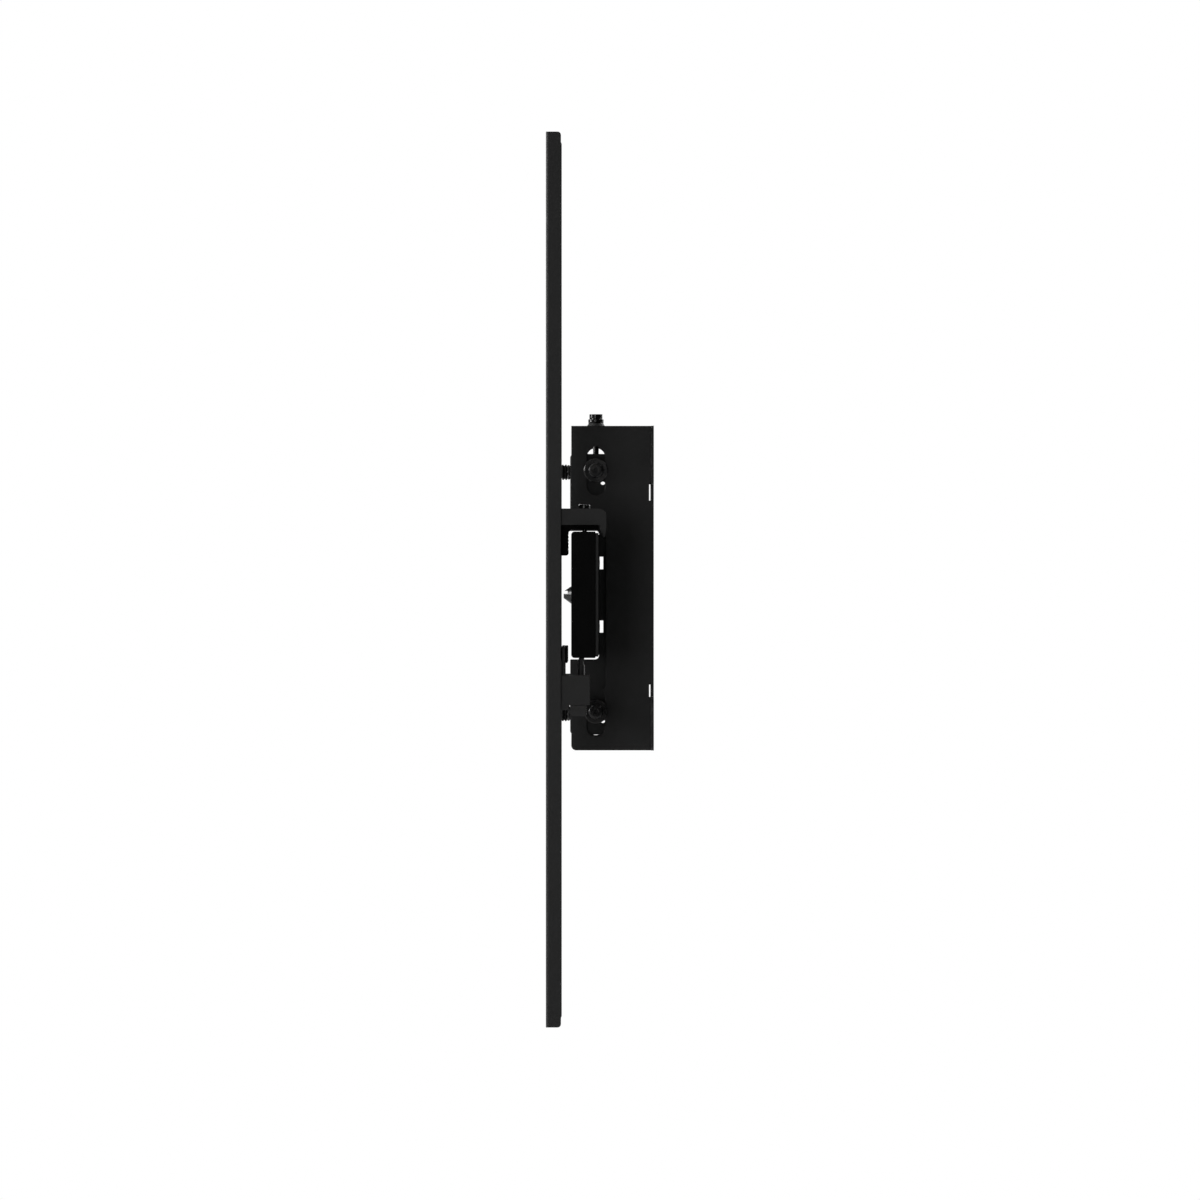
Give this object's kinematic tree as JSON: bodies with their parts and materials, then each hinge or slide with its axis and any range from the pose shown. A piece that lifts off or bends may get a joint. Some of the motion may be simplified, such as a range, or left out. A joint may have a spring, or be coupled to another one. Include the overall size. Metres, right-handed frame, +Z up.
{
  "type": "full motion tv wall mount",
  "caption": "Full-motion screen wall mount: a shallow screw-on wall box with folding dual arms, swivel and tilt head, and a crossbar with sliding vertical rails.",
  "frame": {"origin": "centre of the wall plate's back face, on the wall surface", "axes": "+X along the wall, +Y into the wall, +Z up; the screen faces -Y"},
  "size_m": [0.664, 0.0787, 0.652],
  "materials": {
    "box_coat": "satin fine-texture powder coat",
    "frame_coat": "satin fine-texture powder coat",
    "arm_coat": "satin fine-texture powder coat",
    "bar_coat": "satin fine-texture powder coat",
    "rail_coat": "satin fine-texture powder coat",
    "black_oxide_steel": "black oxide, lightly oiled",
    "black_nylon": "plain moulded nylon",
    "black_plastic": "fine-textured moulding",
    "black_rubber": "matt rubber",
    "spring_steel": "drawn spring wire"
  },
  "bodies": {
    "wall": {"wall_plate": "box_coat", "box_side_left": "box_coat", "box_side_right": "box_coat", "box_top": "box_coat", "box_bottom": "box_coat", "height_screws": "black_oxide_steel", "height_screw_seats": "black_nylon"},
    "frame": {"frame_side_left": "frame_coat", "frame_side_right": "frame_coat", "frame_back": "frame_coat", "frame_top": "frame_coat", "frame_bottom": "frame_coat", "clamp_bolts": "black_oxide_steel", "clamp_washers": "black_oxide_steel", "weld_nuts": "black_oxide_steel", "stop_bumpers": "black_rubber", "arm_base_upper": "frame_coat", "arm_base_lower": "frame_coat", "arm_base_bolts": "black_oxide_steel", "wall_pivot_pins": "black_oxide_steel", "frame_washers": "black_nylon"},
    "head": {"head_bracket": "arm_coat", "head_pivot_pins": "black_oxide_steel", "head_washers": "black_nylon", "swivel_pin": "black_oxide_steel", "swivel_spacers": "black_oxide_steel"},
    "yoke": {"swivel_yoke": "arm_coat", "tilt_bolt": "black_oxide_steel", "tilt_discs": "black_nylon"},
    "crossbar": {"crossbar": "bar_coat", "crossbar_back_plates": "bar_coat", "back_plate_buffers": "black_rubber", "crossbar_end_caps": "black_plastic", "back_plate_studs": "black_oxide_steel", "tilt_ears": "arm_coat", "front_cone_nut": "black_oxide_steel"},
    "inner_arm_left": {"inner_arm_left": "arm_coat", "elbow_pin_left": "black_oxide_steel", "elbow_caps_left": "black_plastic"},
    "outer_arm_left": {"outer_arm_left": "arm_coat"},
    "rail_left": {"tv_rail_left": "rail_coat", "hook_bracket_left": "rail_coat", "rail_pads_left": "black_rubber", "level_screw_left": "black_oxide_steel", "lock_bracket_left": "rail_coat", "lock_spring_left": "spring_steel"},
    "latch_left": {"lock_tab_left": "black_plastic", "lock_pin_left": "black_oxide_steel"},
    "inner_arm_right": {"inner_arm_right": "arm_coat", "elbow_pin_right": "black_oxide_steel", "elbow_caps_right": "black_plastic"},
    "outer_arm_right": {"outer_arm_right": "arm_coat"},
    "rail_right": {"tv_rail_right": "rail_coat", "hook_bracket_right": "rail_coat", "rail_pads_right": "black_rubber", "level_screw_right": "black_oxide_steel", "lock_bracket_right": "rail_coat", "lock_spring_right": "spring_steel"},
    "latch_right": {"lock_tab_right": "black_plastic", "lock_pin_right": "black_oxide_steel"}
  },
  "joints": [
    {"name": "carriage_height", "type": "slide", "parent": "wall", "child": "frame", "axis": [0, 0, 1], "range_m": [-0.007, 0.01]},
    {"name": "arm_right_shoulder", "type": "hinge", "parent": "frame", "child": "inner_arm_right", "pos_m": [0.046, -0.0126, 0], "axis": [0, 0, -1], "range_deg": [0, 70]},
    {"name": "arm_left_shoulder", "type": "hinge", "parent": "frame", "child": "inner_arm_left", "pos_m": [-0.046, -0.0126, 0], "axis": [0, 0, 1], "range_deg": [0, 70]},
    {"name": "arm_right_elbow", "type": "hinge", "parent": "inner_arm_right", "child": "outer_arm_right", "pos_m": [0.16, -0.0203, 0], "axis": [0, 0, 1], "range_deg": [0, 140]},
    {"name": "arm_left_elbow", "type": "hinge", "parent": "inner_arm_left", "child": "outer_arm_left", "pos_m": [-0.16, -0.0203, 0], "axis": [0, 0, -1], "range_deg": [0, 140]},
    {"name": "head_pivot", "type": "hinge", "parent": "outer_arm_right", "child": "head", "pos_m": [0.046, -0.028, 0], "axis": [0, 0, -1], "range_deg": [0, 70]},
    {"name": "swivel", "type": "hinge", "parent": "head", "child": "yoke", "pos_m": [0, -0.0295, 0], "axis": [0, 0, 1], "range_deg": [0, 22]},
    {"name": "tilt", "type": "hinge", "parent": "yoke", "child": "crossbar", "pos_m": [0, -0.051, -0.0047], "axis": [1, 0, 0], "range_deg": [0, 8]},
    {"name": "rail_right_slide", "type": "slide", "parent": "crossbar", "child": "rail_right", "axis": [1, 0, 0], "range_m": [-0.1, 0.012]},
    {"name": "latch_right_pull", "type": "slide", "parent": "rail_right", "child": "latch_right", "axis": [0, 0, 1], "range_m": [-0.006, 0], "stiffness_N_per_m": 400, "springref_m": 0.004, "deforming": ["lock_spring_right"]},
    {"name": "rail_left_slide", "type": "slide", "parent": "crossbar", "child": "rail_left", "axis": [-1, 0, 0], "range_m": [-0.1, 0.012]},
    {"name": "latch_left_pull", "type": "slide", "parent": "rail_left", "child": "latch_left", "axis": [0, 0, 1], "range_m": [-0.006, 0], "stiffness_N_per_m": 400, "springref_m": 0.004, "deforming": ["lock_spring_left"]}
  ],
  "couplings": [
    {"joint": "arm_left_shoulder", "follows": "arm_right_shoulder", "ratio": 1},
    {"joint": "arm_right_elbow", "follows": "arm_right_shoulder", "ratio": 2},
    {"joint": "arm_left_elbow", "follows": "arm_right_shoulder", "ratio": 2},
    {"joint": "head_pivot", "follows": "arm_right_shoulder", "ratio": 1},
    {"joint": "swivel", "follows": "arm_right_shoulder", "ratio": 0.314},
    {"joint": "tilt", "follows": "arm_right_shoulder", "ratio": 0.1142}
  ]
}
